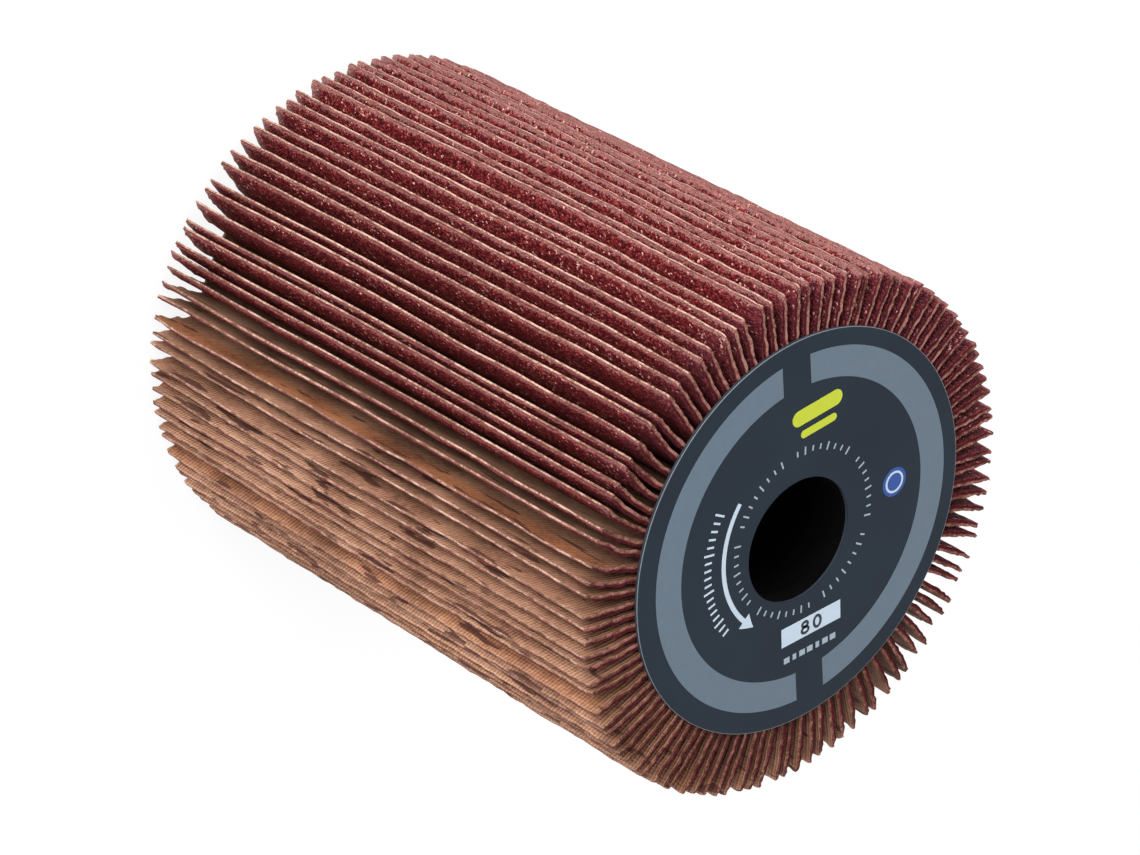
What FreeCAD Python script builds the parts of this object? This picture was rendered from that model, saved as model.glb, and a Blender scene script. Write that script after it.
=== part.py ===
# Flap wheel drum: leaves of abrasive cloth cast into a resin ring on a tube, with a disc on each end.
# Millimetres and degrees. The wheel stands on its plain end disc, its axis is +Z and the labelled end
# is up. The origin is on the axis, in the plane that the wheel stands on.

import FreeCAD, Part
import Sketcher
import os
from math import asin, atan2, cos, degrees, exp, hypot, pi, radians, sin

SIZES = {
    # Tube that slides over the arbor.
    "boreRadius": 9.5,
    "tubeWall": 3.0,
    # Resin ring that holds the roots of the leaves.
    "glueGap": 0.05,
    "hubRadius": 22.0,
    # Abrasive leaves.
    "leafCount": 104,
    "leafLength": 99.0,
    "leafThickness": 0.95,
    "tipRadius": 40.0,
    "tipRaggedness": 0.25,
    # How far the tips trail behind their roots: a mean, and a swing round the wheel.
    "leanMean": 1.45,
    "leanSwing": 1.25,
    "leanHeaviestAt": 20.0,
    # Unevenness of the tips along the circle.
    "tipScatter": 0.8,
    # One place where the tips have slumped further back.
    "slumpAt": 288.0,
    "slumpPush": 2.3,
    "slumpReach": 9.0,
    # One place where the leaves have parted.
    "partingAt": 332.0,
    "partingPush": 1.4,
    "partingReach": 12.0,
    # End discs.
    "discRadius": 31.0,
    "discThickness": 0.5,
    "discHoleClearance": 0.15,
    # The printed disc is glued on a little to one side; its hole is punched in line with the tube.
    "labelBackFromX": 1.05,
    "labelBackFromY": 0.35,
}

# The scatter of the tips runs through this share of a full turn from one leaf to the next, which
# never falls into step with the leaves; the raggedness of the tips' radius runs at its own share.
SCATTER_SHARE = 0.382
RAGGED_SHARE = 0.276

# How much of the scatter comes from each of its two waves, and where the slow one starts, in radians.
QUICK_WAVE = 0.75
SLOW_WAVE = 0.35
SLOW_START = 1.0

# A leaf that bows less than this is drawn straight.
STRAIGHT_BELOW = 0.01

doc = FreeCAD.newDocument("flap_wheel")

sheet = doc.addObject("Spreadsheet::Sheet", "sizes")
for row, (alias, value) in enumerate(SIZES.items(), start=1):
    sheet.set("A%d" % row, alias)
    sheet.set("B%d" % row, str(value))
    sheet.setAlias("B%d" % row, alias)
doc.recompute()


def size(alias):
    return float(getattr(sheet, alias))


def origin_plane(body, role):
    return next(f for f in body.Origin.OriginFeatures if f.Role == role)


def ring_body(label, outer, inner, thickness, height, aside=None):
    # A flat ring or a tube: its two radii, its length and the height it starts at. The hole is on the
    # axis. The outer edge is too, unless aside says how far its centre lies back along X and along Y.
    body = doc.addObject("PartDesign::Body", label + "_body")
    body.Label = label
    outline = body.newObject("Sketcher::SketchObject", label + "_outline")
    outline.AttachmentSupport = [(origin_plane(body, "XY_Plane"), "")]
    outline.MapMode = "FlatFace"
    centre = FreeCAD.Vector(0, 0, 0)
    up = FreeCAD.Vector(0, 0, 1)
    # Each circle is drawn at a round size first, and its radius is then bound.
    for index, (name, radius, drawn) in enumerate((("outer", outer, 20.0), ("inner", inner, 10.0))):
        outline.addGeometry(Part.Circle(centre, up, drawn), False)
        if aside and name == "outer":
            for direction, distance in zip(("DistanceX", "DistanceY"), aside):
                number = outline.addConstraint(Sketcher.Constraint(direction, index, 3, -1, 1, 1.0))
                outline.renameConstraint(number, direction)
                outline.setExpression("Constraints." + direction, distance)
        else:
            outline.addConstraint(Sketcher.Constraint("Coincident", index, 3, -1, 1))
        number = outline.addConstraint(Sketcher.Constraint("Radius", index, drawn))
        outline.renameConstraint(number, name)
        outline.setExpression("Constraints." + name, radius)
    pad = body.newObject("PartDesign::Pad", label + "_pad")
    pad.Profile = outline
    pad.setExpression("Length", thickness)
    body.Tip = pad
    body.setExpression("Placement.Base.z", height)
    return body


# The place of one leaf: where it leaves the ring, and where its tip ends up.
def leaf_place(index):
    count = round(size("leafCount"))
    root = 360.0 * index / count
    # The tips trail most on one side of the wheel, and at the place where they have slumped.
    lean = size("leanMean") + size("leanSwing") * cos(radians(root - size("leanHeaviestAt")))
    from_slump = (root - size("slumpAt") + 180.0) % 360.0 - 180.0
    slump = size("slumpPush") * exp(-(from_slump / size("slumpReach")) ** 2)
    # Two waves of different step stand for the chance of how each leaf dried.
    step = 2 * pi * round(SCATTER_SHARE * count) / count
    slow = 2 * pi * round(RAGGED_SHARE * count) / count
    waves = QUICK_WAVE * sin(step * index) + SLOW_WAVE * sin(slow * index + SLOW_START)
    scatter = size("tipScatter") * waves
    # Leaves on both sides of the parting are pushed away from it.
    away = (root - size("partingAt") + 180.0) % 360.0 - 180.0
    side = 1.0 if away >= 0 else -1.0
    push = side * size("partingPush") * exp(-abs(away) / size("partingReach"))
    tip_radius = size("tipRadius") - size("tipRaggedness") * (0.5 + 0.5 * sin(slow * index))
    return root, -lean - slump + scatter + push, tip_radius


# A leaf leaves the ring straight outwards and bows to its tip on one arc. The function gives points
# of it: along is 0 at the ring and 1 at the tip, and side is the distance to the left of its middle.
def leaf_curve(root, trail, tip_radius):
    reach = tip_radius * cos(radians(trail)) - size("hubRadius")
    shift = tip_radius * sin(radians(trail))
    half_turn = atan2(shift, reach)
    chord = hypot(reach, shift)
    bow = chord * abs(half_turn) / 4

    def point(along, side):
        if bow < STRAIGHT_BELOW:
            out = reach * along - side * sin(half_turn)
            across = shift * along + side * cos(half_turn)
        else:
            arc_radius = chord / (2 * sin(half_turn))
            turned = 2 * half_turn * along
            out = arc_radius * sin(turned) - side * sin(turned)
            across = arc_radius * (1 - cos(turned)) + side * cos(turned)
        out += size("hubRadius")
        angle = radians(root)
        return FreeCAD.Vector(out * cos(angle) - across * sin(angle), out * sin(angle) + across * cos(angle), 0)

    return point, bow


def on_hub(angle):
    reach = size("hubRadius")
    return FreeCAD.Vector(reach * cos(radians(angle)), reach * sin(radians(angle)), 0)


def flank(start, middle, end, bow):
    # One face of a leaf, seen end on.
    if bow < STRAIGHT_BELOW:
        return Part.LineSegment(start, end).toShape()
    return Part.Arc(start, middle, end).toShape()


def leaf_ring_outline():
    # The end view of the resin ring with all its leaves, as one closed line round the outside.
    count = round(size("leafCount"))
    half = size("leafThickness") / 2
    root_half = degrees(asin(half / size("hubRadius")))
    edges = []
    for index in range(count):
        root, trail, tip_radius = leaf_place(index)
        point, bow = leaf_curve(root, trail, tip_radius)
        right_root = on_hub(root - root_half)
        left_root = on_hub(root + root_half)
        right_tip = point(1, -half)
        left_tip = point(1, half)
        edges.append(flank(right_root, point(0.5, -half), right_tip, bow))
        edges.append(Part.LineSegment(right_tip, left_tip).toShape())
        edges.append(flank(left_tip, point(0.5, half), left_root, bow))
        next_root = 360.0 * (index + 1) / count
        hub_end = on_hub(next_root - root_half)
        hub_middle = on_hub((root + next_root) / 2)
        edges.append(Part.Arc(left_root, hub_middle, hub_end).toShape())
    return Part.Wire(edges)


# The tube and the two discs.
core_tube = ring_body(
    "core_tube", "sizes.boreRadius + sizes.tubeWall", "sizes.boreRadius", "sizes.leafLength",
    "sizes.discThickness")
rear_disc = ring_body(
    "rear_disc", "sizes.discRadius", "sizes.boreRadius + sizes.discHoleClearance",
    "sizes.discThickness", "0")
label_disc = ring_body(
    "label_disc", "sizes.discRadius", "sizes.boreRadius + sizes.discHoleClearance",
    "sizes.discThickness", "sizes.discThickness + sizes.leafLength",
    aside=("sizes.labelBackFromX", "sizes.labelBackFromY"))

# The resin ring with its leaves: the end view, drawn out along the axis.
hub_bore = size("boreRadius") + size("tubeWall") + size("glueGap")
bore_line = Part.Wire([Part.Circle(FreeCAD.Vector(0, 0, 0), FreeCAD.Vector(0, 0, 1), hub_bore).toShape()])
end_view = doc.addObject("Part::Feature", "leaf_ring_end_view")
end_view.Shape = Part.makeFace([leaf_ring_outline(), bore_line], "Part::FaceMakerBullseye")
end_view.setExpression("Placement.Base.z", "sizes.discThickness")

flap_pack = doc.addObject("Part::Extrusion", "flap_pack_solid")
flap_pack.Label = "flap_pack"
flap_pack.Base = end_view
flap_pack.DirMode = "Custom"
flap_pack.Dir = FreeCAD.Vector(0, 0, 1)
flap_pack.Solid = True
flap_pack.setExpression("LengthFwd", "sizes.leafLength")

doc.recompute()

pieces = [core_tube, flap_pack, label_disc, rear_disc]
for item in doc.Objects:
    if "Invalid" in item.State or "Error" in item.State:
        raise RuntimeError("%s did not build" % item.Name)
for piece in pieces:
    if piece.Shape.isNull() or not piece.Shape.isValid():
        raise RuntimeError("%s has no valid solid" % piece.Label)

os.makedirs("parts", exist_ok=True)
for piece in pieces:
    piece.Shape.exportStep("parts/%s.step" % piece.Label)
    box = piece.Shape.BoundBox
    print("%-11s solids %d  volume %9.1f  z %.2f to %.2f  width %.2f x %.2f" % (
        piece.Label, len(piece.Shape.Solids), piece.Shape.Volume, box.ZMin, box.ZMax, box.XLength, box.YLength))
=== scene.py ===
# Looks of the flap wheel: abrasive cloth leaves round a resin ring, a printed end disc, a plain one.
# Lengths in the dictionaries are millimetres and angles are degrees, unless a note says otherwise.
import bmesh
import bpy
import numpy as np
from math import radians
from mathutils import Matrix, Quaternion, Vector


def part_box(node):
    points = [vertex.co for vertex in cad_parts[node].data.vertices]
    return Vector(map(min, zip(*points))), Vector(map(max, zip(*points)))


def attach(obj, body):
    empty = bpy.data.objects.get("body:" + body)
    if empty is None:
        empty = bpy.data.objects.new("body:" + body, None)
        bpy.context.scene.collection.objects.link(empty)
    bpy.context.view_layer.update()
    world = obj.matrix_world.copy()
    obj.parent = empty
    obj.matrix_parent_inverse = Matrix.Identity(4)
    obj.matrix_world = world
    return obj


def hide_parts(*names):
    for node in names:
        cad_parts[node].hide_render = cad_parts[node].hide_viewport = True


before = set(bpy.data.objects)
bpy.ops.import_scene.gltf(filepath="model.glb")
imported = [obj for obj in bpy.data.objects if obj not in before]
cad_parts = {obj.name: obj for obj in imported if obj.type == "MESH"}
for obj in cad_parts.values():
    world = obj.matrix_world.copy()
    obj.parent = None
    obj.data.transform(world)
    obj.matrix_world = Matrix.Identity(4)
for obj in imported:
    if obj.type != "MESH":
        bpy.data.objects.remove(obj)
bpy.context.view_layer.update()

mm = 0.001
scene = bpy.context.scene
chance = np.random.default_rng(80)
wanderSeed = 500


# sRGB hex colour to the linear values that shaders use
def linear(hexColour):
    parts = np.array([int(hexColour[i:i + 2], 16) for i in (1, 3, 5)]) / 255
    flat = np.where(parts <= 0.04045, parts / 12.92, ((parts + 0.055) / 1.055) ** 2.4)
    return (*flat, 1.0)


# repeats per metre of a pattern whose real step is given in millimetres
def perMetre(step):
    return 1 / (step * mm)


# adds a shader node, sets its properties and inputs; an input given as (node, output) becomes a link,
# and the stops of a colour ramp run from low to high
def addNode(material, kind, inputs=None, stops=None, **settings):
    node = material.node_tree.nodes.new("ShaderNode" + kind)
    for name, value in settings.items():
        setattr(node, name, value)
    for name, value in (inputs or {}).items():
        if isinstance(value, tuple) and isinstance(value[0], bpy.types.Node):
            material.node_tree.links.new(value[0].outputs[value[1]], node.inputs[name])
        else:
            node.inputs[name].default_value = value
    if stops:
        ramp = node.color_ramp.elements
        ramp.remove(ramp[1])
        for place, (position, hexColour) in enumerate(stops):
            step = ramp.new(position) if place else ramp[0]
            step.position = position
            step.color = linear(hexColour)
    return node


# a weighted sum: each term is an output times its share, added to what stands before it
def weightedSum(material, total, terms):
    for source, share in terms:
        added = addNode(material, "Math", {0: source, 1: share, 2: total}, operation="MULTIPLY_ADD")
        total = (added, "Value")
    return total


# an empty material with its shader and output; the caller adds the pattern
def newMaterial(name, **shine):
    material = bpy.data.materials.new(name)
    material.use_nodes = True
    material.node_tree.nodes.clear()
    sockets = {word.replace("_", " "): value for word, value in shine.items()}
    shader = addNode(material, "BsdfPrincipled", sockets)
    addNode(material, "OutputMaterial", {"Surface": (shader, "BSDF")})
    return material, shader


# links the pattern that is worked out last to a socket of the shader
def join(material, source, output, target, socket):
    material.node_tree.links.new(source.outputs[output], target.inputs[socket])


# The leaves

leaves = {
    "count": 104,
    "hubRadius": 22.0,
    "tipRadius": 40.0,
    "raggedness": 0.25,      # how much the tips' radius differs from leaf to leaf
    "thickness": 0.95,
    "leanMean": 1.45,        # how far the tips trail, and how that swings round the wheel
    "leanSwing": 1.25,
    "leanHeaviestAt": 20.0,
    "slumpAt": 288.0,        # where the tips have slumped further back
    "slumpPush": 2.3,
    "slumpReach": 9.0,
    "scatter": 0.8,          # unevenness of the tips along the circle, made of a quick and a slow wave
    "scatterShare": 0.382,   # share of a turn that the quick wave runs on from leaf to leaf
    "raggedShare": 0.276,    # and the slow one, which the ragged tips follow too
    "quickWave": 0.75,
    "slowWave": 0.35,
    "slowStart": 1.0,        # radians
    "partingAt": 332.0,      # where the leaves have parted
    "partingPush": 1.4,
    "partingReach": 12.0,
    "drift": 0.35,           # slow sideways waves that neighbours share
    "driftWaves": [          # each wave's share, length along the axis, turns round the wheel and start
        (0.7, 171.0, 2, 0.6),
        (0.3, 67.0, 5, 0.0)],
    "ownDrift": 0.2,         # share of its free gap that a leaf wanders by itself
    "ownWander": [(0.6, 33.0), (0.4, 9.0)],                     # shares and steps, as wander takes them
    "lateBendAt": 278.0,     # where the leaves stay upright for longer and lean more in their outer half
    "lateBend": 1.25,
    "lateBendReach": 13.0,
    "wornTip": 0.6,          # share of the thickness that is rubbed off the grain side at the very tip
    "wornSwing": 0.14,       # how much that share changes along a tip
    "wornWander": [(1.0, 2.2)],
    "wornReach": 1.7,        # how far in the rubbed taper fades
    "corner": 0.25,          # how much of the corners is rounded off
    "cornerReach": 0.9,
    "fray": 0.17,            # fine unevenness of the cut tips
    "frayWander": [(0.6, 1.3), (0.4, 4.5)],
    "endFray": 0.22,         # how much a cut end falls short, and the share of it that goes sideways
    "endFraySideways": 0.6,
    "endFrayReach": 0.35,
    "endCurl": 0.025,        # share of its free gap that a cut end waves sideways
    "endCurlMore": 0.22,     # and how much more it waves at the wavy side
    "curlWander": [(1.0, 1.7)],
    "wavyAt": 325.0,
    "wavyPower": 4,
    "endReach": 1.6,         # how far in from the end the waves fade
    "palestAt": 215.0,       # where the slit edges are palest
    "palePower": 1.5,
    "nibble": 1.3,           # deepest bites out of the worn tips
    "nibbleWander": [(1.0, 1.7), (0.35, 0.7)],
    "nibbleAt": 82.0,        # middle of the side where the tips are bitten
    "nibbleSpread": 26.0,
    "nibbleFront": 30.0,     # how far back from the printed end the bites go
    "amber": {86: 0.75, 96: 0.35, 100: 0.2, 3: 0.3, 5: 0.2},   # leaves with amber cloth, and how amber; by the parting it is partly painted shade
    "radialSteps": 22,
    "crowding": 1.4,         # how much closer the points stand towards the tip
    "endSteps": (0.25, 0.7), # the first two stations in from each end
    "frontSteps": 36,
    "backSteps": 50,
    "frontShare": 0.26,      # share of the length that gets the fine steps
    "perPiece": 8,
}

leafLow, leafHigh = (corner.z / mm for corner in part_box("flap_pack"))
leafWide = leaves["tipRadius"] - leaves["hubRadius"]
leafLong = leafHigh - leafLow


# how far an angle lies from a place round the wheel, from -180 to 180
def turnedFrom(angle, place):
    return (angle - place + 180.0) % 360.0 - 180.0


# a bell: 1 at the place, fading by the square of the distance over the reach
def bell(angle, place, reach):
    return np.exp(-(turnedFrom(angle, place) / reach) ** 2)


# half a cosine wave round the wheel, 1 at the place and 0 opposite, raised to a power to narrow it
def sideOfWheel(angle, place, power):
    return (0.5 + 0.5 * np.cos(np.radians(angle - place))) ** power


# The leaf's middle line is a circular arc: it leaves the ring along the radius at the root angle, and
# ends at the tip radius, turned back from the root angle by the trail. The trail is a mean with a swing
# round the wheel, less a bell at the slump, plus two sine waves of different step for the scatter, and
# a push away from the parting that fades by an exponential.
def leafPlaces():
    n = leaves["count"]
    index = np.arange(n)
    root = 360.0 * index / n
    swing = np.cos(np.radians(root - leaves["leanHeaviestAt"]))
    lean = leaves["leanMean"] + leaves["leanSwing"] * swing
    slump = leaves["slumpPush"] * bell(root, leaves["slumpAt"], leaves["slumpReach"])
    quick = 2 * np.pi * round(leaves["scatterShare"] * n) / n * index
    slow = 2 * np.pi * round(leaves["raggedShare"] * n) / n * index
    waves = leaves["quickWave"] * np.sin(quick) + leaves["slowWave"] * np.sin(slow + leaves["slowStart"])
    away = turnedFrom(root, leaves["partingAt"])
    side = np.where(away >= 0, 1.0, -1.0)
    push = side * leaves["partingPush"] * np.exp(-np.abs(away) / leaves["partingReach"])
    tip = leaves["tipRadius"] - leaves["raggedness"] * (0.5 + 0.5 * np.sin(slow))
    return root, -lean - slump + leaves["scatter"] * waves + push, tip


# smooth random lines, one for each leaf: random heights at even knots, joined by cosine easing. Each
# (share, step) adds one such line, with its knots that many millimetres apart.
def wander(rows, places, parts, seed):
    total = 0
    for number, (share, step) in enumerate(parts):
        knots = int(np.ceil(places.max() / step)) + 3
        heights = np.random.default_rng(wanderSeed + seed + number).uniform(-1, 1, (rows, knots))
        at = places / step
        low = np.floor(at).astype(int)
        ease = 0.5 - 0.5 * np.cos(np.pi * (at - low))
        total = total + share * (heights[:, low] * (1 - ease) + heights[:, low + 1] * ease)
    return total


# Distances back from the printed end of the stations along a leaf: fine steps at the front, coarse ones
# behind, and two short steps at each end.
def leafStations():
    border = leaves["frontShare"] * leafLong
    first, second = leaves["endSteps"]
    fine = np.linspace(second, border, leaves["frontSteps"])
    coarse = np.linspace(border, leafLong - second, leaves["backSteps"])[1:]
    return np.concatenate([[0, first], fine, coarse, [leafLong - first, leafLong]])


# All leaves at once, as an array of leaf x station along the axis x point round the section x 3.
# A section point is the arc's point plus a step along its normal. The step is half the thickness to
# either side, less on the grain side by a taper that grows by an exponential towards the tip, plus the
# drift, which grows with the square of the way out, so that the root stays in the resin, plus the late
# bend, which is half a sine wave from root to tip.
def leafSurfaces():
    root, trail, tip = leafPlaces()
    n = leaves["count"]
    depth = leafStations()
    farHalf = (depth > leafLong / 2).astype(int)
    endward = np.minimum(depth, leafLong - depth)
    out = 1 - np.linspace(1, 0, leaves["radialSteps"]) ** leaves["crowding"]

    tipAngle = root + trail
    spacing = np.radians(np.diff(np.append(tipAngle, tipAngle[0] + 360))) * leaves["tipRadius"]
    free = np.minimum(spacing, np.roll(spacing, 1)) - leaves["thickness"]
    turn = np.radians(root)[:, None]
    shared = leaves["drift"] * sum(
        share * np.sin(2 * np.pi * depth[None, :] / wave + turns * turn + start)
        for share, wave, turns, start in leaves["driftWaves"])
    own = leaves["ownDrift"] * free[:, None] * wander(n, depth, leaves["ownWander"], 0)
    sideways = shared + own
    lateBend = leaves["lateBend"] * bell(root, leaves["lateBendAt"], leaves["lateBendReach"])

    # the tip's outline: frayed all along, bitten on one side near the front, and rounded at the corners
    fray = leaves["fray"] * wander(n, depth, leaves["frayWander"], 2)
    bitten = bell(root, leaves["nibbleAt"], leaves["nibbleSpread"])[:, None]
    bites = np.clip(wander(n, depth, leaves["nibbleWander"], 4), 0, 1)
    bites = bites * np.clip(1 - depth / leaves["nibbleFront"], 0, 1)[None, :] ** 0.5
    corner = (leaves["corner"] * chance.uniform(0.3, 1, (n, 2)))[:, farHalf]
    rounded = corner * np.clip(1 - endward / leaves["cornerReach"], 0, 1)[None, :] ** 2
    tipHere = tip[:, None] + fray - leaves["nibble"] * bitten * bites - rounded

    # each arc's radius, from how far its tip lies out and aside; a straight leaf keeps a trace of a turn
    reach = tip * np.cos(np.radians(trail)) - leaves["hubRadius"]
    shift = tip * np.sin(np.radians(trail))
    half = np.arctan2(shift, reach)
    leastTurn = 1e-5
    half = np.where(np.abs(half) < leastTurn, leastTurn, half)
    arc = (np.hypot(reach, shift) / (2 * np.sin(half)))[:, None, None]

    # the section: up the cloth side, over the tip, down the grain side, which is rubbed to a thin tip
    way = np.concatenate([out, out[::-1]])
    inward = (1 - out[::-1]) * leafWide
    wornHere = leaves["wornTip"] + leaves["wornSwing"] * wander(n, depth, leaves["wornWander"], 6)
    rubbed = 0.5 - wornHere[:, :, None] * np.exp(-inward / leaves["wornReach"])
    share = np.concatenate([np.full((n, len(depth), len(out)), -0.5), rubbed], -1)
    stretch = 1 + (tipHere - tip[:, None]) / (tip - leaves["hubRadius"])[:, None]
    turned = 2 * half[:, None, None] * way[None, None, :] * stretch[:, :, None]
    step = share * leaves["thickness"] + sideways[:, :, None] * way[None, None, :] ** 2
    step = step + lateBend[:, None, None] * np.sin(np.pi * way)

    # the cut ends wave sideways and are frayed: a little to either side, and short of the full length
    nearEnd = np.exp(-endward / leaves["endReach"])[None, :, None]
    atEnd = leaves["endFray"] * np.exp(-endward / leaves["endFrayReach"])[None, :, None]
    curls = [wander(n, way * leafWide, leaves["curlWander"], 7 + end) for end in (0, 1)]
    curl = np.stack(curls, 1)[:, farHalf] * np.sqrt(way)
    more = leaves["endCurlMore"] * sideOfWheel(root, leaves["wavyAt"], leaves["wavyPower"])
    wavy = ((leaves["endCurl"] + more) * free)[:, None, None]
    fluffed = leaves["endFraySideways"] * chance.uniform(-1, 1, (n, 2, len(way)))[:, farHalf]
    step = step + nearEnd * wavy * curl + atEnd * fluffed
    short = atEnd * chance.uniform(0, 1, (n, 2, len(way)))[:, farHalf]
    short = short * np.where(farHalf, -1, 1)[None, :, None]

    radial = leaves["hubRadius"] + arc * np.sin(turned) - step * np.sin(turned)
    lateral = arc * (1 - np.cos(turned)) + step * np.cos(turned)
    c, s = np.cos(turn)[:, :, None], np.sin(turn)[:, :, None]
    height = np.broadcast_to((leafHigh - depth)[None, :, None] - short, radial.shape)
    points = np.stack([radial * c - lateral * s, radial * s + lateral * c, height], -1) * mm

    amber = np.array([leaves["amber"].get(i, 0.0) for i in range(n)])
    pale = sideOfWheel(root, leaves["palestAt"], leaves["palePower"])
    facts = {
        "across": share + 0.5,                        # 0 on the cloth side, 1 on the grain side
        "axial": depth[None, :, None],                # millimetres back from the printed end
        "outward": (way * leafWide)[None, None, :],   # millimetres out from the ring
        "tone": chance.uniform(-1, 1, n)[:, None, None],
        "amber": amber[:, None, None],
        "pale": pale[:, None, None],                  # how much paler the leaf's edges are on this side of the wheel
    }
    return points, {name: np.broadcast_to(values, radial.shape) for name, values in facts.items()}


# Faces of one leaf: quads between neighbouring stations all round the section, and a strip of quads
# across each end. The slot of each face is 0 for cloth, 1 for grain and 2 for a cut edge.
def leafFaces(stations, around):
    i, j = np.meshgrid(np.arange(stations - 1), np.arange(around), indexing="ij")
    here, ahead = i * around, (i + 1) * around
    nextPoint = (j + 1) % around
    walls = np.stack([here + j, ahead + j, ahead + nextPoint, here + nextPoint], -1)
    onCloth = j < around // 2 - 1
    onGrain = (j >= around // 2) & (j < around - 1)
    wallSlot = np.where(onCloth, 0, np.where(onGrain, 1, 2))
    k = np.arange(around // 2 - 1)
    cap = np.stack([k, k + 1, around - 2 - k, around - 1 - k], -1)
    far = cap[:, ::-1] + (stations - 1) * around
    faces = np.concatenate([walls.reshape(-1, 4), cap, far])
    return faces, np.concatenate([wallSlot.ravel(), np.full(2 * len(k), 2)])


# a mesh object from arrays; facts are point values that the materials read, and edges that turn less
# than smoothBelow are shaded smooth
def meshPiece(name, points, faces, materials, slotOfFace=None, facts=None, smoothBelow=None):
    mesh = bpy.data.meshes.new(name)
    mesh.vertices.add(len(points))
    mesh.vertices.foreach_set("co", points.astype(np.float32).ravel())
    mesh.loops.add(faces.size)
    mesh.loops.foreach_set("vertex_index", faces.astype(np.int32).ravel())
    mesh.polygons.add(len(faces))
    mesh.polygons.foreach_set("loop_start", np.arange(0, faces.size, faces.shape[1], dtype=np.int32))
    for material in materials:
        mesh.materials.append(material)
    if slotOfFace is not None:
        mesh.polygons.foreach_set("material_index", slotOfFace.astype(np.int32))
    for fact, values in (facts or {}).items():
        layer = mesh.attributes.new(fact, "FLOAT", "POINT")
        layer.data.foreach_set("value", values.astype(np.float32).ravel())
    mesh.update(calc_edges=True)
    mesh.validate()
    mesh.shade_flat()
    if smoothBelow:
        mesh.shade_smooth()
        mesh.set_sharp_from_angle(angle=radians(smoothBelow))
    piece = bpy.data.objects.new(name, mesh)
    scene.collection.objects.link(piece)
    return piece


# puts a piece on the one body and hides the node that it takes the place of, if any
def finishPiece(piece, slot, *stoodFor):
    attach(piece, "root")
    if stoodFor:
        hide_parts(*stoodFor)
    return piece
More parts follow.
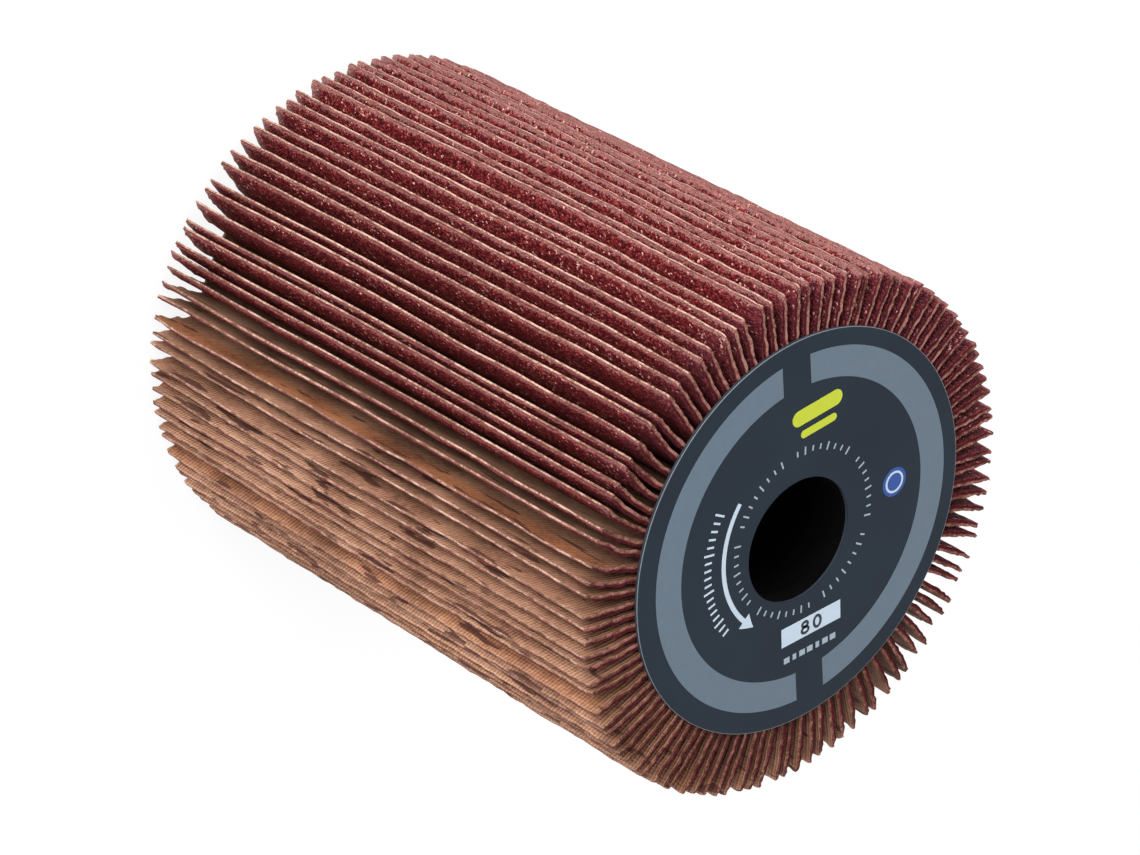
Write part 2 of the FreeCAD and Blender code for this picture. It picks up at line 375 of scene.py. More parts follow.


# Aluminium oxide grit 80 in maroon phenolic resin, dusted upright onto the cloth: a rough crystalline
# crust with dark pits, and a few pale specks that are painted highlights on the grains. Real grains are
# 0.19 mm; they are drawn at nearly twice that, because one would be smaller than a pixel. On the rubbed
# bevel of the tip it is pale and dusty.
def grainMaterial():
    look = {
        "grain": 0.34, "clump": 0.9, "cloud": 9.0,
        # how much of the tone comes from the grain, its clump, the cloud and the leaf, and a fixed part
        "byGrain": 0.85, "byClump": 0.95, "byCloud": 0.4, "byLeaf": 0.04, "fixed": -0.62,
        "pit": "#2E0609", "dark": "#4B0D14", "body": "#6C1A1D", "light": "#8E3E3C", "paintedGlint": "#CFA598",
        "sheen": "#983230",
        "haze": "#523644", "hazeDepth": 8.0, "hazeMost": 0.26,
        "far": "#A78780", "farFrom": 96.8, "farMost": 0.6,
        "dust": "#A57470", "dustFrom": 16.8, "dustLeast": 0.1, "dustMost": 0.55,
        "dustByClump": 1.1, "dustByGrain": 0.5, "dustFixed": -0.3, "dustLow": -0.15, "dustSoft": 0.12,
        "relief": 0.3,
    }
    material, shader = newMaterial(
        "aluminiumOxideGrain", Roughness=0.8, Specular_IOR_Level=0.12,
        Sheen_Weight=0.05, Sheen_Roughness=0.4, Sheen_Tint=linear(look["sheen"]))
    place = addNode(material, "TexCoord")
    axial, tone, outward, pale = [
        addNode(material, "Attribute", attribute_name=name)
        for name in ("axial", "tone", "outward", "pale")]
    grains = addNode(material, "TexVoronoi", {
        "Vector": (place, "Object"), "Scale": perMetre(look["grain"]), "Randomness": 1.0})
    clouds = addNode(material, "TexNoise", {
        "Vector": (place, "Object"), "Scale": perMetre(look["cloud"]), "Detail": 4.0, "Roughness": 0.6})
    pick = addNode(material, "SeparateColor", {"Color": (grains, "Color")})
    clumps = addNode(material, "TexNoise", {
        "Vector": (place, "Object"), "Scale": perMetre(look["clump"]), "Detail": 2.0, "Roughness": 0.6})
    level = weightedSum(material, look["fixed"], [
        ((pick, "Red"), look["byGrain"]), ((clumps, "Fac"), look["byClump"]),
        ((clouds, "Fac"), look["byCloud"]), ((tone, "Fac"), look["byLeaf"])])
    # the top stop, paintedGlint, is a painted highlight: the brightest grains are coloured as glints of
    # light
    colour = addNode(material, "ValToRGB", {"Fac": level}, stops=[
        (0.0, look["pit"]), (0.3, look["dark"]), (0.63, look["body"]), (0.92, look["light"]),
        (1.0, look["paintedGlint"])])

    # towards the label end the whole coat is blended towards a greyish purple
    atEnd = addNode(material, "MapRange", {
        "Value": (axial, "Fac"), "From Max": look["hazeDepth"], "To Min": look["hazeMost"], "To Max": 0.0})
    hazy = addNode(material, "Mix", {
        "Factor": (atEnd, "Result"), "A": (colour, "Color"), "B": linear(look["haze"])}, data_type="RGBA")

    # the far corners are rubbed pale, most of all on the palest side
    atFarEnd = addNode(material, "MapRange", {
        "Value": (axial, "Fac"), "From Min": look["farFrom"], "From Max": leafLong,
        "To Max": look["farMost"]})
    farHere = addNode(material, "Math", {
        0: (atFarEnd, "Result"), 1: (pale, "Fac")}, operation="MULTIPLY")
    farPale = addNode(material, "Mix", {
        "Factor": (farHere, "Value"), "A": (hazy, "Result"), "B": linear(look["far"])}, data_type="RGBA")

    # the tips are dusted grain by grain and clump by clump: the nearer to the tip, the more of them
    atTip = addNode(material, "MapRange", {
        "Value": (outward, "Fac"), "From Min": look["dustFrom"], "From Max": leafWide,
        "To Min": look["dustLow"]})
    speckled = weightedSum(material, look["dustFixed"], [
        ((clumps, "Fac"), look["dustByClump"]), ((pick, "Blue"), look["dustByGrain"])])
    caught = addNode(material, "Math", {0: (atTip, "Result"), 1: speckled}, operation="SUBTRACT")
    dustMost = addNode(material, "MapRange", {
        "Value": (pale, "Fac"), "To Min": look["dustLeast"], "To Max": look["dustMost"]})
    dusted = addNode(material, "MapRange", {
        "Value": (caught, "Value"), "From Min": -look["dustSoft"], "From Max": look["dustSoft"],
        "To Max": (dustMost, "Result")})
    dusty = addNode(material, "Mix", {
        "Factor": (dusted, "Result"), "A": (farPale, "Result"), "B": linear(look["dust"])},
        data_type="RGBA")

    domes = addNode(material, "Math", {
        0: (pick, "Green"), 1: (grains, "Distance")}, operation="SUBTRACT")
    bump = addNode(material, "Bump", {
        "Height": (domes, "Value"), "Strength": 1.0, "Distance": look["relief"] * mm})
    join(material, dusty, "Result", shader, "Base Color")
    join(material, bump, "Normal", shader, "Normal")
    return material


# Heavy cotton drill, sized with glue: fine threads that run out along the leaf, a few amber leaves, and
# dark maroon blots where the resin of the coat came through near the tips. The amber is partly painted
# shade: by the parting it stands for the warm colour of cloth deep in the opened gaps.
def clothMaterial():
    look = {
        "thread": 0.62, "weft": 0.55, "weftShare": 0.3, "cloud": 16.0, "fuzz": 0.7,
        "byWeave": 0.09, "byFuzz": 0.4, "byLeaf": 0.06,
        "dark": "#6F4B38", "body": "#A47459", "light": "#C99A7C",
        "amber": "#EBC489", "amberFrom": 12.5, "amberTo": 15.5,
        "end": "#B6ABA6", "endDepth": 4.0,
        "fluff": "#B5937F", "fluffFrom": 16.8, "fluffMost": 0.4,
        "blot": "#45211C", "blotSize": 1.8, "blotSquash": 0.2, "blotFrom": 9.0, "blotTo": 16.5,
        "blotMore": 0.16, "blotEdge": (0.74, 0.775), "blotMost": 0.85,
        "relief": 0.15,
    }
    material, shader = newMaterial("cottonBackingCloth", Roughness=0.85, Specular_IOR_Level=0.3)
    axial, outward, tone, amber = [
        addNode(material, "Attribute", attribute_name=name)
        for name in ("axial", "outward", "tone", "amber")]
    place = addNode(material, "TexCoord")

    # the weave: a sine wave along the leaf for the warp and a weaker one outwards for the weft
    warpTurn = addNode(material, "Math", {
        0: (axial, "Fac"), 1: 2 * np.pi / look["thread"]}, operation="MULTIPLY")
    warp = addNode(material, "Math", {0: (warpTurn, "Value")}, operation="SINE")
    weftTurn = addNode(material, "Math", {
        0: (outward, "Fac"), 1: 2 * np.pi / look["weft"]}, operation="MULTIPLY")
    weft = addNode(material, "Math", {0: (weftTurn, "Value")}, operation="SINE")
    weave = weightedSum(material, (warp, "Value"), [((weft, "Value"), look["weftShare"])])
    clouds = addNode(material, "TexNoise", {
        "Vector": (place, "Object"), "Scale": perMetre(look["cloud"]), "Detail": 5.0, "Roughness": 0.6})
    fuzz = addNode(material, "TexNoise", {
        "Vector": (place, "Object"), "Scale": perMetre(look["fuzz"]), "Detail": 3.0})
    level = weightedSum(material, (clouds, "Fac"), [
        (weave, look["byWeave"]), ((fuzz, "Fac"), look["byFuzz"]), ((tone, "Fac"), look["byLeaf"])])
    colour = addNode(material, "ValToRGB", {"Fac": level}, stops=[
        (0.48, look["dark"]), (0.7, look["body"]), (0.92, look["light"])])

    # amber glue, in the outer part of its leaf; by the parting it is partly painted shade of the opened
    # gaps
    amberFrom = addNode(material, "MapRange", {
        "Value": (outward, "Fac"), "From Min": look["amberFrom"], "From Max": look["amberTo"]})
    amberHere = addNode(material, "Math", {
        0: (amberFrom, "Result"), 1: (amber, "Fac")}, operation="MULTIPLY")
    ambered = addNode(material, "Mix", {
        "Factor": (amberHere, "Value"), "A": (colour, "Color"), "B": linear(look["amber"])},
        data_type="RGBA", blend_type="MULTIPLY")

    # painted shade at the label end: the cloth is multiplied darker and greyer there, fading along the leaf
    atEnd = addNode(material, "MapRange", {
        "Value": (axial, "Fac"), "From Max": look["endDepth"], "To Min": 1.0, "To Max": 0.0})
    shadedAtEnd = addNode(material, "Mix", {
        "Factor": (atEnd, "Result"), "A": (ambered, "Result"), "B": linear(look["end"])},
        data_type="RGBA", blend_type="MULTIPLY")

    # pale fluff that thickens towards the tip
    nearTip = addNode(material, "MapRange", {
        "Value": (outward, "Fac"), "From Min": look["fluffFrom"], "From Max": leafWide,
        "To Max": look["fluffMost"]})
    fluffHere = addNode(material, "Math", {
        0: (nearTip, "Result"), 1: (fuzz, "Fac")}, operation="MULTIPLY")
    fluffy = addNode(material, "Mix", {
        "Factor": (fluffHere, "Value"), "A": (shadedAtEnd, "Result"), "B": linear(look["fluff"])},
        data_type="RGBA")

    # blots: noise that is drawn out along the axis, kept to the outer part of the leaf
    spread = addNode(material, "Mapping", {
        "Vector": (place, "Object"), "Scale": (1.0, 1.0, look["blotSquash"])})
    blots = addNode(material, "TexNoise", {
        "Vector": (spread, "Vector"), "Scale": perMetre(look["blotSize"]), "Detail": 3.0, "Roughness": 0.5})
    where = addNode(material, "MapRange", {
        "Value": (outward, "Fac"), "From Min": look["blotFrom"], "From Max": look["blotTo"],
        "To Max": look["blotMore"]})
    amount = addNode(material, "Math", {
        0: (blots, "Fac"), 1: (where, "Result")}, operation="ADD")
    stain = addNode(material, "MapRange", {
        "Value": (amount, "Value"), "From Min": look["blotEdge"][0], "From Max": look["blotEdge"][1],
        "To Max": look["blotMost"]})
    both = addNode(material, "Mix", {
        "Factor": (stain, "Result"), "A": (fluffy, "Result"), "B": linear(look["blot"])},
        data_type="RGBA")

    bump = addNode(material, "Bump", {
        "Height": weave, "Strength": 0.7, "Distance": look["relief"] * mm})
    join(material, both, "Result", shader, "Base Color")
    join(material, bump, "Normal", shader, "Normal")
    return material


# Where the cloth was slit: pale cotton on one side of the edge, the dark crust of grain on the other,
# with an uneven line between them. The ends of the leaves are darker, from resin that ran into them.
def edgeMaterial():
    look = {
        "grain": 0.3, "fibre": 1.4, "stretch": 6.0,
        # where the crust begins across the thickness, how far that line wanders and how soft it is
        "coat": 0.48, "wandering": 0.5, "softness": 0.14,
        # how much of the cotton's tone comes from each, and a fixed part
        "byGrain": 1.1, "byStretch": 0.8, "byPale": 0.1, "fixed": -0.165,
        "cottonDark": "#543A30", "cotton": "#7C5B4D", "cottonLight": "#A88A7B",
        "crust": "#330B10", "crustLight": "#64292F",
        "end": "#E6C8CC", "endDepth": 0.5, "endMore": 0.17,
        "relief": 0.16,
    }
    material, shader = newMaterial("slitClothEdge", Roughness=0.9, Specular_IOR_Level=0.1)
    across, axial, pale = [
        addNode(material, "Attribute", attribute_name=name) for name in ("across", "axial", "pale")]
    place = addNode(material, "TexCoord")
    speckle = addNode(material, "TexNoise", {
        "Vector": (place, "Object"), "Scale": perMetre(look["grain"]), "Detail": 2.0})
    fibres = addNode(material, "TexNoise", {
        "Vector": (place, "Object"), "Scale": perMetre(look["fibre"]), "Detail": 4.0, "Roughness": 0.65})

    # the line between cotton and crust; on the cut ends the cotton is wider
    atEnd = addNode(material, "MapRange", {
        "Value": (axial, "Fac"), "From Max": look["endDepth"], "To Min": 1.0, "To Max": 0.0})
    line = weightedSum(material, (across, "Fac"), [
        ((speckle, "Fac"), look["wandering"]), ((atEnd, "Result"), -look["endMore"])])
    border = addNode(material, "MapRange", {
        "Value": line, "From Min": look["coat"], "From Max": look["coat"] + look["softness"]})

    # how pale the cotton is; a colour ramp reads from 0 to 1, so the level is halved
    stretches = addNode(material, "TexNoise", {
        "Vector": (place, "Object"), "Scale": perMetre(look["stretch"]), "Detail": 3.0})
    worn = weightedSum(material, (fibres, "Fac"), [
        ((speckle, "Fac"), look["byGrain"]), ((stretches, "Fac"), look["byStretch"])])
    rubbed = weightedSum(material, look["fixed"], [(worn, 0.5), ((pale, "Fac"), look["byPale"])])
    cotton = addNode(material, "ValToRGB", {"Fac": rubbed}, stops=[
        (0.5, look["cottonDark"]), (0.6, look["cotton"]), (0.71, look["cottonLight"])])

    crust = addNode(material, "ValToRGB", {"Fac": (speckle, "Fac")}, stops=[
        (0.4, look["crust"]), (0.7, look["crustLight"])])
    both = addNode(material, "Mix", {
        "Factor": (border, "Result"), "A": (cotton, "Color"), "B": (crust, "Color")}, data_type="RGBA")
    darker = addNode(material, "Mix", {
        "Factor": (atEnd, "Result"), "A": (both, "Result"), "B": linear(look["end"])},
        data_type="RGBA", blend_type="MULTIPLY")
    bump = addNode(material, "Bump", {
        "Height": (speckle, "Fac"), "Strength": 0.6, "Distance": look["relief"] * mm})
    join(material, darker, "Result", shader, "Base Color")
    join(material, bump, "Normal", shader, "Normal")
    return material


leafMaterials = [clothMaterial(), grainMaterial(), edgeMaterial()]
leafPoints, leafFacts = leafSurfaces()
stations, around = leafPoints.shape[1:3]
oneLeaf, oneLeafSlots = leafFaces(stations, around)
for first in range(0, leaves["count"], leaves["perPiece"]):
    some = slice(first, first + leaves["perPiece"])
    points = leafPoints[some].reshape(-1, 3)
    held = len(points) // (stations * around)
    starts = (np.arange(held) * stations * around)[:, None, None]
    faces = (oneLeaf[None] + starts).reshape(-1, 4)
    facts = {name: values[some] for name, values in leafFacts.items()}
    name = "leaves%02d" % (first // leaves["perPiece"] + 1)
    slots = np.tile(oneLeafSlots, held)
    piece = meshPiece(name, points, faces, leafMaterials, slots, facts, smoothBelow=25)
    finishPiece(piece, "abrasive_cloth", "flap_pack")
print("leaves:", leaves["count"], "with", len(oneLeaf) * 2 * leaves["count"], "triangles")

# The resin ring that holds the roots

resinRing = {
    "inner": 12.55, "outer": 22.05, "steps": 208, "colour": "#3C1512", "light": "#552420", "cloud": 4.0,
}


# Cast phenolic resin, dusted with the wheel's own grit: dark red brown, dull, slightly cloudy.
def resinMaterial():
    material, shader = newMaterial("castPhenolicResin", Roughness=0.75, Specular_IOR_Level=0.2)
    place = addNode(material, "TexCoord")
    clouds = addNode(material, "TexNoise", {
        "Vector": (place, "Object"), "Scale": perMetre(resinRing["cloud"]), "Detail": 3.0})
    colour = addNode(material, "ValToRGB", {"Fac": (clouds, "Fac")}, stops=[
        (0.3, resinRing["colour"]), (0.7, resinRing["light"])])
    join(material, colour, "Color", shader, "Base Color")
    return material


# A closed body of revolution: a profile of (radius, height) points, taken round the axis.
def turned(name, profile, steps, material):
    profile = np.array(profile, float)
    angle = np.linspace(0, 2 * np.pi, steps, endpoint=False)[:, None]
    height = np.broadcast_to(profile[:, 1], (steps, len(profile)))
    points = np.stack([profile[:, 0] * np.cos(angle), profile[:, 0] * np.sin(angle), height], -1) * mm
    i, j = np.meshgrid(np.arange(steps), np.arange(len(profile)), indexing="ij")
    i2, j2 = (i + 1) % steps, (j + 1) % len(profile)
    n = len(profile)
    faces = np.stack([i * n + j, i2 * n + j, i2 * n + j2, i * n + j2], -1).reshape(-1, 4)
    return meshPiece(name, points.reshape(-1, 3), faces, [material], smoothBelow=35)


inner, outer = resinRing["inner"], resinRing["outer"]
ringProfile = [(inner, leafLow), (outer, leafLow), (outer, leafHigh), (inner, leafHigh)]
ring = turned("resinRing", ringProfile, resinRing["steps"], resinMaterial())
finishPiece(ring, "abrasive_cloth", "flap_pack")
print("resin ring done")

# The end discs and the tube keep their CAD shapes

discCorners = [np.array(corner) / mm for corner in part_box("label_disc")]
discMiddle, discTop = (discCorners[0] + discCorners[1])[:2] / 2, discCorners[1][2]
discRadius = (discCorners[1] - discCorners[0])[0] / 2


# Pressed board under a dark slate print and a satin varnish. The cut wall is coloured dark as painted
# shade, at the rim and in the hole, with a thin pale line under the print where the board shows.
def printedBoard():
    look = {
        "print": "#16202B", "printLight": "#1A2530", "cloud": 18.0,
        "board": "#9AA1A8", "core": "#2B3138", "line": 0.1, "rim": 0.06, "shown": 0.55,
        "pore": 0.5, "relief": 0.05,
    }
    material, shader = newMaterial("printedSlateBoard", Roughness=0.42, Specular_IOR_Level=0.16)
    place = addNode(material, "TexCoord")
    centred = addNode(material, "Mapping", {
        "Vector": (place, "Object"), "Location": (*(-discMiddle * mm), -discTop * mm)})
    height = addNode(material, "SeparateXYZ", {"Vector": (centred, "Vector")})
    flat = addNode(material, "VectorMath", {
        0: (centred, "Vector"), 1: (1.0, 1.0, 0.0)}, operation="MULTIPLY")
    radius = addNode(material, "VectorMath", {0: (flat, "Vector")}, operation="LENGTH")
    outer = addNode(material, "Math", {
        0: (radius, "Value"), 1: (discRadius - look["rim"]) * mm}, operation="GREATER_THAN")
    high = addNode(material, "Math", {
        0: (height, "Z"), 1: -look["line"] * mm}, operation="GREATER_THAN")
    line = addNode(material, "Math", {0: (high, "Value"), 1: (outer, "Value")}, operation="MULTIPLY")
    shown = addNode(material, "Math", {0: (line, "Value"), 1: look["shown"]}, operation="MULTIPLY")
    clouds = addNode(material, "TexNoise", {
        "Vector": (place, "Object"), "Scale": perMetre(look["cloud"]), "Detail": 2.0})
    colour = addNode(material, "ValToRGB", {"Fac": (clouds, "Fac")}, stops=[
        (0.35, look["print"]), (0.65, look["printLight"])])
    # below the print the wall takes the dark core colour: painted shade
    low = addNode(material, "Math", {
        0: (height, "Z"), 1: -look["line"] * mm}, operation="LESS_THAN")
    paintedShadeWall = addNode(material, "Mix", {
        "Factor": (low, "Value"), "A": (colour, "Color"), "B": linear(look["core"])}, data_type="RGBA")
    both = addNode(material, "Mix", {
        "Factor": (shown, "Value"), "A": (paintedShadeWall, "Result"), "B": linear(look["board"])}, data_type="RGBA")
    pores = addNode(material, "TexNoise", {
        "Vector": (place, "Object"), "Scale": perMetre(look["pore"]), "Detail": 2.0})
    bump = addNode(material, "Bump", {
        "Height": (pores, "Fac"), "Strength": 0.08, "Distance": look["relief"] * mm})
    join(material, both, "Result", shader, "Base Color")
    join(material, bump, "Normal", shader, "Normal")
    return material


# Plain brown pressed board with visible fibres.
def plainBoard():
    look = {"dark": "#573F2E", "light": "#765843", "fibre": 0.9, "relief": 0.1}
    material, shader = newMaterial("plainPressedBoard", Roughness=0.75)
    place = addNode(material, "TexCoord")
    fibres = addNode(material, "TexNoise", {
        "Vector": (place, "Object"), "Scale": perMetre(look["fibre"]), "Detail": 5.0})
    colour = addNode(material, "ValToRGB", {"Fac": (fibres, "Fac")}, stops=[
        (0.35, look["dark"]), (0.68, look["light"])])
    bump = addNode(material, "Bump", {
        "Height": (fibres, "Fac"), "Strength": 0.2, "Distance": look["relief"] * mm})
    join(material, colour, "Color", shader, "Base Color")
    join(material, bump, "Normal", shader, "Normal")
    return material


# Tube of paper wound in black phenolic resin, with faint turns along it: a dark tube, coloured near black
# as painted shade for the deep bore.
def tubeMaterial():
    # near black: partly the tube's own dark resin, partly painted shade of the bore
    look = {"turn": 1.6, "squash": 0.2, "dark": "#010101", "light": "#050404"}
    material, shader = newMaterial("paperTubeInPaintedShade", Roughness=0.9, Specular_IOR_Level=0.05)
    place = addNode(material, "TexCoord")
    spread = addNode(material, "Mapping", {
        "Vector": (place, "Object"), "Scale": (look["squash"], look["squash"], 1.0)})
    turns = addNode(material, "TexNoise", {
        "Vector": (spread, "Vector"), "Scale": perMetre(look["turn"]), "Detail": 3.0})
    colour = addNode(material, "ValToRGB", {"Fac": (turns, "Fac")}, stops=[
        (0.35, look["dark"]), (0.65, look["light"])])
    join(material, colour, "Color", shader, "Base Color")
    return material


dressing = {"label_disc": printedBoard(), "rear_disc": plainBoard(), "core_tube": tubeMaterial()}
for node, material in dressing.items():
    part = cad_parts[node]
    part.data.materials.clear()
    part.data.materials.append(material)
print("discs and tube dressed")

# The print on the end disc: flat films of ink. It isn't quite central on the disc. Radius and at give a
# place from the print's middle, and facing is the way that a reader's line runs.

inks = {
    "white": "#B1C0CE", "pale": "#909DA9", "grey": "#586775",
    "lime": "#B2BD29", "blue": "#24468C", "slate": "#1E262F",
}
mottling = {"size": 1.2, "least": 0.93, "most": 1.05}
inkFilm = 0.03
mergeBelow = 0.0001
printMiddle = discMiddle + (-0.42, 0.25)
greyRing = {"inner": 23.3, "outer": 28.0, "gap": 5.3, "gapAt": 44.5}
arrow = {"radius": 15.3, "width": 0.75, "from": -86.0, "neck": -7.0, "tip": 2.0, "headWidth": 2.6}
tickScale = {
    "radius": 18.3, "from": -78.0, "to": -13.5, "ticks": 18,
    "every": 5, "long": 1.9, "short": 1.3, "width": 0.32,
}
collar = {
    "radius": 12.9, "ticks": 54, "rest": 9,      # every ninth tick is left out, between the groups
    "every": 3, "long": 1.25, "short": 0.85, "width": 0.26,
}
gritBox = {"radius": 16.3, "at": 47.2, "facing": 132.8, "long": 11.6, "high": 3.1}
digits = {
    "wide": 1.75, "high": 2.3, "stroke": 0.44, "apart": 1.2,
    # the eight's two ovals, as shares of a digit's width and height
    "topWide": 0.86, "topHigh": 0.55, "topUp": 0.225, "bottomHigh": 0.62, "bottomDown": 0.19,
}
dashRow = {
    "radius": 20.3, "at": 45.4, "facing": 132.8, "long": 10.6, "count": 7, "high": 0.95,
    "every": 3, "shortShare": 0.45, "longShare": 0.72,
}
limeBars = {
    "radius": 17.6, "at": 212.4, "facing": 137.0, "long": 9.6, "high": 2.5,
    "shortLong": 6.9, "shortHigh": 1.25, "apart": 2.9,
}
roundel = {"radius": 18.0, "at": 133.8, "size": 2.3, "bandAt": 1.75, "band": 0.34}


# Screen ink: opaque, satin, with faint mottling.
def inkMaterial(name):
    material, shader = newMaterial(name + "ScreenInk", Roughness=0.45, Specular_IOR_Level=0.35)
    place = addNode(material, "TexCoord")
    mottle = addNode(material, "TexNoise", {
        "Vector": (place, "Object"), "Scale": perMetre(mottling["size"]), "Detail": 2.0})
    shade = addNode(material, "MapRange", {
        "Value": (mottle, "Fac"), "To Min": mottling["least"], "To Max": mottling["most"]})
    colour = addNode(material, "VectorMath", {
        0: linear(inks[name])[:3], 1: (shade, "Result")}, operation="MULTIPLY")
    join(material, colour, "Vector", shader, "Base Color")
    return material


inkLooks = {name: inkMaterial(name) for name in inks}


# merges points that coincide, so that a ring has no cut and the middle of a disc is one point
def weld(mesh):
    work = bmesh.new()
    work.from_mesh(mesh)
    bmesh.ops.remove_doubles(work, verts=work.verts, dist=mergeBelow * mm)
    work.to_mesh(mesh)
    work.free()


# A film of ink from grids of flat points (rows x columns x 2), each turned face up and given its
# thickness downwards. A quad faces up where the cross product of its diagonals is positive. The second
# layer lies on the first.
def film(name, ink, grids, layer=1):
    pointRows, faceRows, start = [], [], 0
    for grid in grids:
        rows, columns = grid.shape[:2]
        i, j = np.meshgrid(np.arange(rows - 1), np.arange(columns - 1), indexing="ij")
        a = start + i * columns + j
        faceRows.append(np.stack([a, a + columns, a + columns + 1, a + 1], -1).reshape(-1, 4))
        pointRows.append(grid.reshape(-1, 2))
        start += rows * columns
    flat, faces = np.concatenate(pointRows), np.concatenate(faceRows)
    one, other = flat[faces[:, 2]] - flat[faces[:, 0]], flat[faces[:, 3]] - flat[faces[:, 1]]
    downward = one[:, 0] * other[:, 1] < one[:, 1] * other[:, 0]
    faces = np.where(downward[:, None], faces[:, ::-1], faces)
    height = np.full((len(flat), 1), discTop + layer * inkFilm)
    points = np.concatenate([flat + printMiddle, height], 1)
    piece = meshPiece(name, points * mm, faces, [inkLooks[ink]])
    weld(piece.data)
    thick = piece.modifiers.new("thickness", "SOLIDIFY")
    thick.thickness = inkFilm * mm
    thick.offset = -1
    return finishPiece(piece, "printed_board")


# flat points from a radius and an angle: radius times cosine and sine
def polar(radius, angle):
    return np.stack([radius * np.cos(np.radians(angle)), radius * np.sin(np.radians(angle))], -1)


# moves and turns a flat shape drawn as along and up from its own middle
def setDown(along, up, place, facing):
    middle = polar(place["radius"], place["at"])
    c, s = np.cos(np.radians(facing)), np.sin(np.radians(facing))
    return np.stack([middle[0] + along * c - up * s, middle[1] + along * s + up * c], -1)


# part of a flat ring: radius across, angle along
def band(low, high, start, end, steps=64):
    radius = np.array([[low], [high]])
    angle = np.linspace(start, end, steps)[None, :]
    return polar(radius + 0 * angle, angle + 0 * radius)


# a rectangle whose middle lies off its place by x along the line
def bar(place, facing, long, high, x=0.0):
    along, up = np.meshgrid([x - long / 2, x + long / 2], [-high / 2, high / 2], indexing="ij")
    return setDown(along, up, place, facing)


# a bar with round ends, y above its place: its half height at each step is that of a circle of its
# height, moved apart to its ends; blunt is the angle that is left off at each end
def pill(place, facing, long, high, y=0.0, steps=40, blunt=0.02):
    turn = np.linspace(blunt, np.pi - blunt, steps)[:, None]
    along = -np.cos(turn) * high / 2 - np.sign(np.cos(turn)) * (long - high) / 2
    up = y + np.sin(turn) * high / 2 * np.array([[-1.0, 1.0]])
    return setDown(along + 0 * up, up, place, facing)


# a stroke of even width along a closed oval, x along and y above its place
def oval(place, facing, x, y, wide, high, stroke, steps=40):
    turn = np.linspace(0, 2 * np.pi, steps)[None, :]
    inward = np.array([[0.0], [1.0]]) * stroke
    along = x + (wide / 2 - inward) * np.cos(turn)
    up = y + (high / 2 - inward) * np.sin(turn)
    return setDown(along, up, place, facing)


# marks that point outwards, one for each angle
def ticks(radius, angles, lengths, width):
    return [bar({"radius": radius, "at": a}, a, long, width) for a, long in zip(angles, lengths)]


# half of the broad ring; it ends at a straight gap across the disc, so its ends are parallel: at each
# radius the angle stops short by the arcsine of half the gap over the radius
def ringHalf(middle):
    radius = np.linspace(greyRing["inner"], greyRing["outer"], 5)[:, None]
    cut = np.degrees(np.arcsin(greyRing["gap"] / 2 / radius))
    angle = middle + (90 - cut) * np.linspace(-1, 1, 97)[None, :]
    return polar(radius + 0 * angle, angle)


film("greyRing", "grey", [ringHalf(greyRing["gapAt"] + 90), ringHalf(greyRing["gapAt"] - 90)])

# the arrow's head narrows to its tip, which is a hair wide
headHalf = np.linspace(arrow["headWidth"] / 2, 0.02, 8)[None, :] * np.array([[-1], [1]])
headTurn = np.linspace(arrow["neck"], arrow["tip"], 8)[None, :] + 0 * headHalf
shaftSides = arrow["radius"] - arrow["width"] / 2, arrow["radius"] + arrow["width"] / 2
shaft = band(*shaftSides, arrow["from"], arrow["neck"])
film("turningArrow", "white", [shaft, polar(arrow["radius"] + headHalf, headTurn)])

count = np.arange(tickScale["ticks"])
tickAngles = np.linspace(tickScale["from"], tickScale["to"], len(count))
tickLengths = np.where(count % tickScale["every"] == 0, tickScale["long"], tickScale["short"])
film("tickScale", "white", ticks(tickScale["radius"], tickAngles, tickLengths, tickScale["width"]))

count = np.arange(collar["ticks"])
count = count[count % collar["rest"] != collar["rest"] - 1]
tickLengths = np.where(count % collar["every"] == 0, collar["long"], collar["short"])
film("collarTicks", "pale", ticks(
    collar["radius"], 360 * count / collar["ticks"], tickLengths, collar["width"]))

# the grit size: the eight is two ovals, one on the other, and the nought is a tall one
film("gritBox", "white", [bar(gritBox, gritBox["facing"], gritBox["long"], gritBox["high"])])
wide, high, stroke, apart = (digits[name] for name in ("wide", "high", "stroke", "apart"))
film("gritNumber", "slate", [
    oval(gritBox, gritBox["facing"], -apart, high * digits["topUp"],
         wide * digits["topWide"], high * digits["topHigh"], stroke),
    oval(gritBox, gritBox["facing"], -apart, high * -digits["bottomDown"],
         wide, high * digits["bottomHigh"], stroke),
    oval(gritBox, gritBox["facing"], apart, 0.0, wide, high, stroke)], layer=2)

pitch = dashRow["long"] / dashRow["count"]
count = np.arange(dashRow["count"])
dashLengths = pitch * np.where(count % dashRow["every"] == 1, dashRow["shortShare"], dashRow["longShare"])
dashPlaces = (count - (dashRow["count"] - 1) / 2) * pitch
film("dashRow", "pale", [
    bar(dashRow, dashRow["facing"], long, dashRow["high"], x) for long, x in zip(dashLengths, dashPlaces)])

film("limeBars", "lime", [
    pill(limeBars, limeBars["facing"], limeBars["long"], limeBars["high"], limeBars["apart"] / 2),
    pill(limeBars, limeBars["facing"], limeBars["shortLong"], limeBars["shortHigh"],
         -limeBars["apart"] / 2)])

roundelMiddle = polar(roundel["radius"], roundel["at"])
film("blueRoundel", "blue", [band(0.0, roundel["size"], 0, 360) + roundelMiddle])
roundelRim = band(roundel["bandAt"] - roundel["band"], roundel["bandAt"], 0, 360)
film("roundelBand", "white", [roundelRim + roundelMiddle], layer=2)
print("print done")

# Floor, light and camera

# the floor lies a hair below the wheel's end, so that the two faces don't coincide; shadowless is the
# share of it that the camera sees as plain white
stage = {"floorHalf": 4.0, "floorAt": -0.1, "floor": "#FFFFFF", "shadowless": 0.86}   # floorHalf in metres


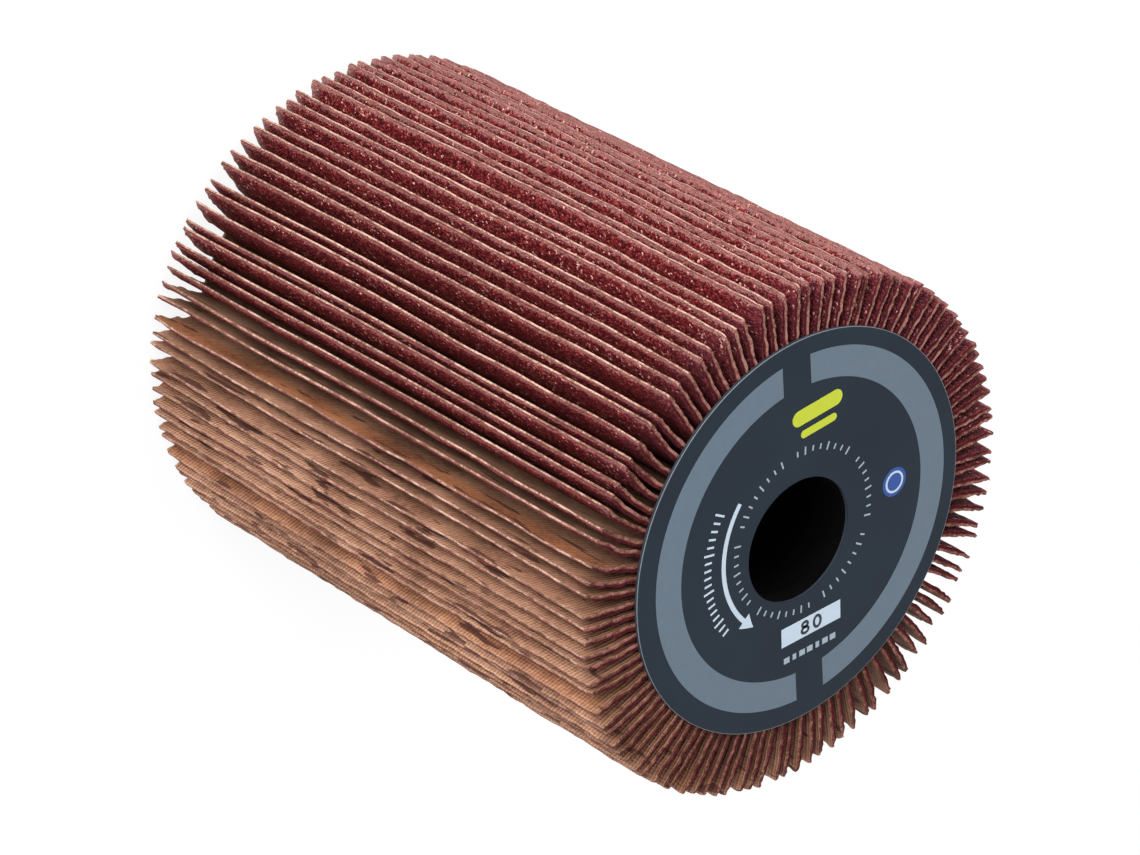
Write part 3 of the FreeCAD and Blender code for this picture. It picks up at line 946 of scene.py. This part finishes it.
# Matt white sweep: the camera sees it nearly white, and it keeps a light shadow.
def floorMaterial():
    material = bpy.data.materials.new("whiteSweep")
    material.use_nodes = True
    material.node_tree.nodes.clear()
    path = addNode(material, "LightPath")
    matt = addNode(material, "BsdfDiffuse", {"Color": linear(stage["floor"])})
    glow = addNode(material, "Emission", {"Color": linear(stage["floor"]), "Strength": 1.0})
    seen = addNode(material, "Math", {
        0: (path, "Is Camera Ray"), 1: (path, "Is Glossy Ray")}, operation="MAXIMUM")
    part = addNode(material, "Math", {
        0: (seen, "Value"), 1: stage["shadowless"]}, operation="MULTIPLY")
    mixed = addNode(material, "MixShader", {
        0: (part, "Value"), 1: (matt, "BSDF"), 2: (glow, "Emission")})
    addNode(material, "OutputMaterial", {"Surface": (mixed, "Shader")})
    return material


half, low = stage["floorHalf"], stage["floorAt"] * mm
floorCorners = np.array([(-half, -half, low), (half, -half, low), (half, half, low), (-half, half, low)])
floor = meshPiece("floor", floorCorners, np.array([[0, 1, 2, 3]]), [floorMaterial()])

# even light from all round, in which the camera sees white
ambient = {"level": 0.74, "seen": 1.0}
world = bpy.data.worlds.new("studio")
scene.world = world
world.use_nodes = True
world.node_tree.nodes.clear()
path = addNode(world, "LightPath")
seen = addNode(world, "Math", {
    0: (path, "Is Camera Ray"), 1: (path, "Is Transmission Ray")}, operation="MAXIMUM")
strength = addNode(world, "Mix", {
    "Factor": (seen, "Value"), "A": ambient["level"], "B": ambient["seen"]})
sky = addNode(world, "Background", {"Color": (1, 1, 1, 1), "Strength": (strength, "Result")})
addNode(world, "OutputWorld", {"Surface": (sky, "Background")})

# lamps: where they hang and how bright they are, in metres and watts; all point at the wheel's middle
lamps = {
    "keySoftbox": {"at": (-0.12, -0.89, 0.30), "size": 0.5, "watts": 11.5},
    "sideSoftbox": {"at": (-0.90, -0.10, 0.30), "size": 0.6, "watts": 4.5},
    "lowSoftbox": {"at": (0.70, -0.55, 0.15), "size": 0.6, "watts": 3.0},
    "topSoftbox": {"at": (-0.20, 0.0, 0.95), "size": 0.6, "watts": 1.2},
}
middle = Vector((0, 0, 0.05))
for name, lamp in lamps.items():
    light = bpy.data.lights.new(name, "AREA")
    light.shape = "SQUARE"
    light.size = lamp["size"]
    light.energy = lamp["watts"]
    holder = bpy.data.objects.new(name, light)
    holder.location = lamp["at"]
    holder.rotation_euler = (middle - Vector(lamp["at"])).to_track_quat("-Z", "Y").to_euler()
    scene.collection.objects.link(holder)

# the photograph's view: a long lens, turned on its side
view = {
    "at": (1.96, -496.03, 488.25), "aim": (1.64, 0.0, 52.26), "roll": 118.82,
    "lens": 140.97, "sensor": 36.0,
}
eye, aim = Vector(view["at"]) * mm, Vector(view["aim"]) * mm
roll = Quaternion((0, 0, 1), radians(view["roll"]))
cameraData = bpy.data.cameras.new("photoCamera")
cameraData.lens = view["lens"]
cameraData.sensor_width = view["sensor"]
camera = bpy.data.objects.new("photoCamera", cameraData)
camera.rotation_mode = "QUATERNION"
camera.location = eye
camera.rotation_quaternion = (aim - eye).to_track_quat("-Z", "Y") @ roll
scene.collection.objects.link(camera)
scene.camera = camera
scene.view_settings.view_transform = "Standard"
print("stage, lamps and camera done")
